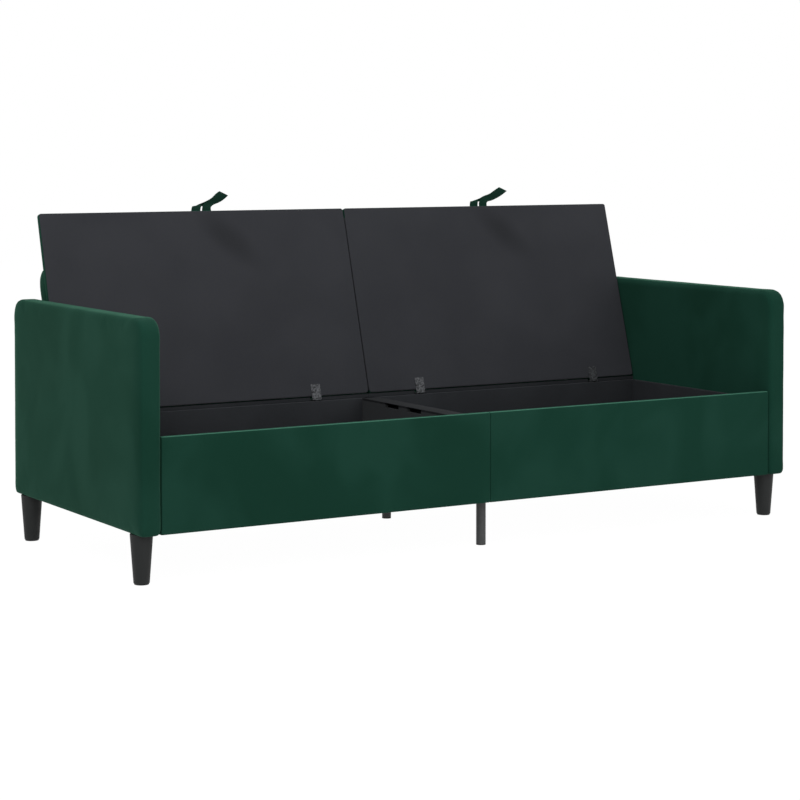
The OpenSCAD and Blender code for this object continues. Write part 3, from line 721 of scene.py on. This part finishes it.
def curveAt(points, which, t):
    last = len(points) - 1
    i = min(int(t), last - 1)
    a, b, c, d = (Vector(points[min(max(i + k, 0), last)][which]) for k in (-1, 0, 1, 2))
    s = t - i
    return 0.5 * (2 * b + (c - a) * s + (2 * a - 5 * b + 4 * c - d) * s ** 2
                  + (3 * b - a - 3 * c + d) * s ** 3)


def makeRibbon(side, look):
    low, high = leanedBox(side + "_lid_cover")
    start = Vector((math.copysign(look["middle"], low.x + high.x), 0, high.z))
    points = look["points"][side]
    count = (len(points) - 1) * look["steps"]
    bm = bmesh.new()
    row = None
    for k in range(count + 1):
        t = k / look["steps"]
        spot = curveAt(points, 0, t) * mm
        wide = curveAt(points, 1, t).normalized() * look["wide"] / 2
        if row is None:
            row = [bm.verts.new(start + spot + wide * s) for s in (-1, -0.5, 0, 0.5, 1)]
            edges = [bm.edges.new(pair) for pair in zip(row, row[1:])]
            continue
        made = bmesh.ops.extrude_edge_only(bm, edges=edges)["geom"]
        fresh = [g for g in made if isinstance(g, bmesh.types.BMVert)]
        edges = [g for g in made if isinstance(g, bmesh.types.BMEdge)
                 and all(v in fresh for v in g.verts)]
        order = {v: min(range(5), key=lambda j: (row[j].co - v.co).length) for v in fresh}
        row = sorted(fresh, key=order.get)
        for j, v in enumerate(row):
            v.co = start + spot + wide * (j - 2) / 2
    piece = finishPiece(bm, side + "_pull_ribbon", [side + "_ribbon"], alongLean)
    thick = piece.modifiers.new("thick", "SOLIDIFY")
    thick.thickness, thick.offset = look["thick"], 0
    rounder = piece.modifiers.new("rounder", "SUBSURF")
    rounder.levels = rounder.render_levels = 1


legLook = {"round": 2 * mm, "topRound": 0.5 * mm, "foot": 21 * mm, "ring": 64}


def spun(outline, centre, ring):
    bm = bmesh.new()
    dots = [bm.verts.new((r, 0, z)) for r, z in outline]
    edges = [bm.edges.new(pair) for pair in zip(dots, dots[1:])]
    bmesh.ops.spin(bm, geom=dots + edges, cent=(0, 0, 0), axis=(0, 0, 1),
                   angle=math.tau, steps=ring, use_merge=True)
    bmesh.ops.remove_doubles(bm, verts=bm.verts, dist=1e-7)
    bmesh.ops.translate(bm, vec=centre, verts=bm.verts)
    return bm


def arc(radius, height, r, start, end, steps=5):
    turns = [math.radians(start + (end - start) * k / steps) for k in range(steps + 1)]
    return [(radius + r * math.cos(a), height + r * math.sin(a)) for a in turns]


def makeLegs(look):
    for end in ("front", "rear"):
        for side in ("left", "right"):
            node = f"leg_{end}_{side}"
            low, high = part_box(node)
            centre = (low + high) / 2
            top, foot = (high.x - low.x) / 2, look["foot"]
            r, topR = look["round"], look["topRound"]
            height = high.z - low.z
            outline = [(0, height), (top - topR, height)]
            outline += arc(top - topR, height - topR, topR, 90, 0)
            outline += arc(foot - r, r, r, -5, -90) + [(0, 0)]
            bm = spun(outline, (centre.x, centre.y, low.z), look["ring"])
            shadeByAngle(finishPiece(bm, f"{end}_{side}_leg", [node]), 30)


def islands(node):
    bm = bmesh.new()
    bm.from_mesh(frame["nodes"][node].data)
    bmesh.ops.remove_doubles(bm, verts=bm.verts, dist=1e-6)
    left, groups = set(bm.verts), []
    while left:
        todo, group = [left.pop()], []
        while todo:
            v = todo.pop()
            group.append(v.co.copy())
            near = {e.other_vert(v) for e in v.link_edges} & left
            left -= near
            todo += near
        groups.append(group)
    bm.free()
    return groups


discLook = {
    "leg_glides": {"round": 0.8 * mm, "ring": 40},
    "rest_pads": {"round": 0.4 * mm, "ring": 40},
}


def makeDiscs(node, look):
    whole = bmesh.new()
    for spots in islands(node):
        low = Vector([min(p[a] for p in spots) for a in range(3)])
        high = Vector([max(p[a] for p in spots) for a in range(3)])
        radius, height, r = (high.x - low.x) / 2, high.z - low.z, look["round"]
        outline = [(0, height)] + arc(radius - r, height - r, r, 90, 0)
        outline += arc(radius - r, r, r, 0, -90) + [(0, 0)]
        centre = ((low.x + high.x) / 2, (low.y + high.y) / 2, low.z)
        addTo(whole, spun(outline, centre, look["ring"]))
    finishPiece(whole, node + "_soft", [node])


def addTo(whole, part, turn=None):
    if turn:
        bmesh.ops.transform(part, matrix=turn, verts=part.verts)
    mesh = bpy.data.meshes.new("part")
    part.to_mesh(mesh)
    part.free()
    whole.from_mesh(mesh)
    bpy.data.meshes.remove(mesh)


screwLook = {
    "pan": {"dome": 0.45, "drive": "cross", "ring": 16},
    "bolt": {"dome": 0.2, "drive": "hex", "ring": 24},
}
tallestNut = 8 * mm
# Each is a share of the head's height, or of the ring before it
headLook = {"lowerDome": 0.7, "shoulder": 0.86, "crest": 0.7, "recess": 0.85,
            "recessFoot": 0.8, "recessDeep": 0.5, "crossNeck": 0.3, "crossArm": 0.55,
            "rim": 0.95}


# One head along +Z from z = 0 with its shank below, with a recess in the top
def screwMesh(headR, headH, shankR, length, look):
    ring = look["ring"]
    bm = bmesh.new()
    bmesh.ops.create_circle(bm, cap_ends=True, cap_tris=False, segments=ring, radius=shankR,
                            matrix=Matrix.Translation((0, 0, -length)))
    face = bm.faces[:]

    def grow(rise, widen):
        nonlocal face
        made = bmesh.ops.extrude_face_region(bm, geom=face)["geom"]
        bmesh.ops.delete(bm, geom=face, context="FACES_ONLY")
        dots = [g for g in made if isinstance(g, bmesh.types.BMVert)]
        face = [g for g in made if isinstance(g, bmesh.types.BMFace)]
        bmesh.ops.translate(bm, vec=(0, 0, rise), verts=dots)
        bmesh.ops.scale(bm, vec=(widen, widen, 1), verts=dots)
        return dots

    bottom = bm.faces[:]
    bmesh.ops.duplicate(bm, geom=bottom)
    grow(length, 1)
    grow(0, headR / shankR)
    grow(headH * (1 - look["dome"]), 1)
    dome, lower = headH * look["dome"], headLook["lowerDome"]
    grow(dome * lower, headLook["shoulder"])
    grow(dome * (1 - lower), headLook["crest"])
    dots = grow(0, headLook["recess"])
    if look["drive"] == "cross":
        reach = max(v.co.xy.length for v in dots)
        for v in dots:
            turn = round(math.atan2(v.co.y, v.co.x) / math.tau * ring) % ring
            arm = round(turn / 4) * 4
            offset = turn - arm
            if abs(offset) == 2:
                v.co.x *= headLook["crossNeck"]
                v.co.y *= headLook["crossNeck"]
            else:
                angle = (arm + offset * headLook["crossArm"]) * math.tau / ring
                v.co.x, v.co.y = reach * math.cos(angle), reach * math.sin(angle)
    grow(-headH * headLook["recessDeep"], headLook["recessFoot"])
    bmesh.ops.remove_doubles(bm, verts=bm.verts, dist=1e-7)
    return bm


def makeScrews(node, kind, turn=None):
    back = turn.inverted() if turn else Matrix.Identity(4)
    whole = bmesh.new()
    for spots in islands(node):
        spots = [back @ p for p in spots]
        low = Vector([min(p[a] for p in spots) for a in range(3)])
        high = Vector([max(p[a] for p in spots) for a in range(3)])
        size = high - low
        axis = max(range(3), key=lambda a: size[a])
        if size[axis] < tallestNut:
            continue      # it has no shank
        centre = (low + high) / 2
        side = [a for a in range(3) if a != axis]
        headR = size[side[0]] / 2
        far = [p for p in spots
               if math.hypot(p[side[0]] - centre[side[0]], p[side[1]] - centre[side[1]])
               > headR * headLook["rim"]]
        headLow, headHigh = min(p[axis] for p in far), max(p[axis] for p in far)
        upward = headHigh > centre[axis]
        shank = [p for p in spots if p not in far]
        shankR = max(math.hypot(p[side[0]] - centre[side[0]], p[side[1]] - centre[side[1]])
                     for p in shank)
        way = Vector([(1 if upward else -1) * (a == axis) for a in range(3)])
        seat = centre.copy()
        seat[axis] = headLow if upward else headHigh
        length = (headLow - low[axis]) if upward else (high[axis] - headHigh)
        one = screwMesh(headR, headHigh - headLow, shankR, length, screwLook[kind])
        face = way.to_track_quat("Z", "Y").to_matrix().to_4x4()
        addTo(whole, one, Matrix.Translation(seat) @ face)
    shadeByAngle(finishPiece(whole, node + "_made", [node], turn), 35)


lightLook = {
    "key": {"place": (-3.6, -3.0, 3.6), "size": 3.0, "power": 108},
    "front": {"place": (0.4, -6.0, 2.2), "size": 3.5, "power": 80},
    "fill": {"place": (4.2, -4.2, 2.6), "size": 4.0, "power": 40},
    "top": {"place": (0.0, 0.6, 5.0), "size": 4.0, "power": 80},
    "world": 0.34, "aim": (0, 0, 0.45),
    "floor": 14, "paper": (0.8, 0.8, 0.8, 1), "glow": 1.04, "glowShare": 0.95,
}


def makeRoom(look):
    for name in ("key", "front", "fill", "top"):
        lamp = bpy.data.lights.new(name, "AREA")
        lamp.shape, lamp.size = "SQUARE", look[name]["size"]
        lamp.energy = look[name]["power"]
        holder = bpy.data.objects.new(name, lamp)
        scene.collection.objects.link(holder)
        holder.location = look[name]["place"]
        aim = Vector(look["aim"]) - holder.location
        holder.rotation_euler = aim.to_track_quat("-Z", "Y").to_euler()
    world = bpy.data.worlds.new("room")
    scene.world = world
    world.use_nodes = True
    s = Sheet(world.node_tree)
    seen = seenDirectly(s)
    soft = s.add("ShaderNodeBackground", inputs={
        "Color": (1, 1, 1, 1), "Strength": seen * (1 - look["world"]) + look["world"]})
    s.add("ShaderNodeOutputWorld", inputs={"Surface": soft})
    # floor: white where it is seen, and it keeps the soft shadow
    bm = bmesh.new()
    bmesh.ops.create_grid(bm, x_segments=2, y_segments=2, size=look["floor"])
    mesh = bpy.data.meshes.new("floor")
    bm.to_mesh(mesh)
    bm.free()
    floor = bpy.data.objects.new("floor", mesh)
    scene.collection.objects.link(floor)
    paper = bpy.data.materials.new("paper")
    paper.use_nodes = True
    s = Sheet(paper.node_tree)
    plain = s.add("ShaderNodeBsdfDiffuse", inputs={"Color": look["paper"]})
    glow = s.add("ShaderNodeEmission", inputs={
        "Color": (1, 1, 1, 1), "Strength": look["glow"]})
    shadow = s.add("ShaderNodeMixShader", inputs={0: look["glowShare"], 1: plain, 2: glow})
    mix = s.add("ShaderNodeMixShader", inputs={0: seenDirectly(s), 1: plain, 2: shadow})
    s.add("ShaderNodeOutputMaterial", inputs={"Surface": mix})
    mesh.materials.append(paper)


def seenDirectly(s):
    path = s.add("ShaderNodeLightPath").socket.node.outputs
    seen = Wire(s, path["Is Camera Ray"])
    for name in ("Is Glossy Ray", "Is Transmission Ray"):
        seen = s.add("ShaderNodeMath", {"operation": "MAXIMUM"}, {0: seen, 1: Wire(s, path[name])})
    return seen


makeCamera(cameraLook)
makeRoom(lightLook)
print("camera and room made")
makeArms(armLook)
print("arms made")
makeBack(backLook)
print("back made")
for side, seed in (("left", 1), ("right", 2)):
    makeTautPad(side + "_front_rail", "front_rail_cover_" + side, railLook, seed)
makeTautPad("rear_skirt_velvet", "rear_skirt", skirtLook, 3)
for node in ("left_side_board", "right_side_board", "front_inner_board_left",
             "front_inner_board_right", "front_ledge_left", "front_ledge_right",
             "floor_panel_left", "floor_panel_right"):
    makeBoard(node, boardLook)
makeRearRail("left", gapShadeStripLook)
makeRearRail("right", gapShadeStripLook)
makeDividerCap(capLook)
print("rails and boards made")
for side in ("left", "right"):
    makeSeat(side, seatLook)
    makeSeatLining(side, liningSheet)
    makeRibbon(side, ribbonLook)
    makeScrews(side + "_hinge_screws", "pan", alongLean)
print("seat boards made")
makeLegs(legLook)
for node, look in discLook.items():
    makeDiscs(node, look)
for node in ("lower_hinge_screws", "bracket_screws", "centre_leg_screws"):
    makeScrews(node, "pan")
makeScrews("arm_bolts", "bolt")
print("legs and screws made")

view = scene.view_settings
view.view_transform = "Standard"
